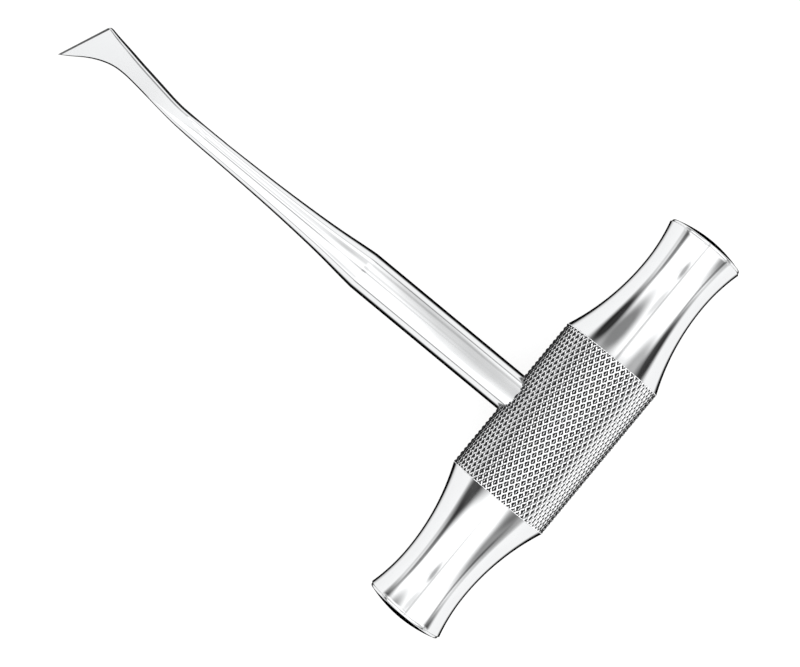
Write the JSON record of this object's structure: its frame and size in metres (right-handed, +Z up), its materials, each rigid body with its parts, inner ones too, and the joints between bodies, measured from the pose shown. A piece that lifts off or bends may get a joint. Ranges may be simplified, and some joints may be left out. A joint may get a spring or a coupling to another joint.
{
  "type": "dental elevator",
  "caption": "Cross-bar dental elevator: knurled T-handle with flared polished ends, straight shank tapering to a slim neck and a pointed triangular blade ground flat on its face.",
  "frame": {"origin": "on the table under the middle of the instrument's footprint, as it lies at rest on its knurled grip and the back of its blade", "axes": "+X along the handle, +Y from the handle towards the blade, +Z up from the table; the shank's axis dips 5.39 degrees below +Y, which is how the tool rests, and the ground face of the blade looks up"},
  "size_m": [0.0894, 0.1238, 0.021],
  "materials": {
    "polished_blade_steel": "polished",
    "polished_handle_steel": "polished",
    "knurled_steel": "satin",
    "machined_steel": "satin",
    "silver_braze": "satin"
  },
  "bodies": {
    "root": {"blade_and_shank": "polished_blade_steel", "grip_barrel": "knurled_steel", "right_flared_end": "polished_handle_steel", "left_flared_end": "polished_handle_steel", "right_end_cap": "polished_handle_steel", "left_end_cap": "polished_handle_steel", "core_block": "machined_steel", "tang_pin": "machined_steel", "tang_braze_ring": "silver_braze", "right_braze_ring": "silver_braze", "left_braze_ring": "silver_braze"}
  },
  "joints": []
}
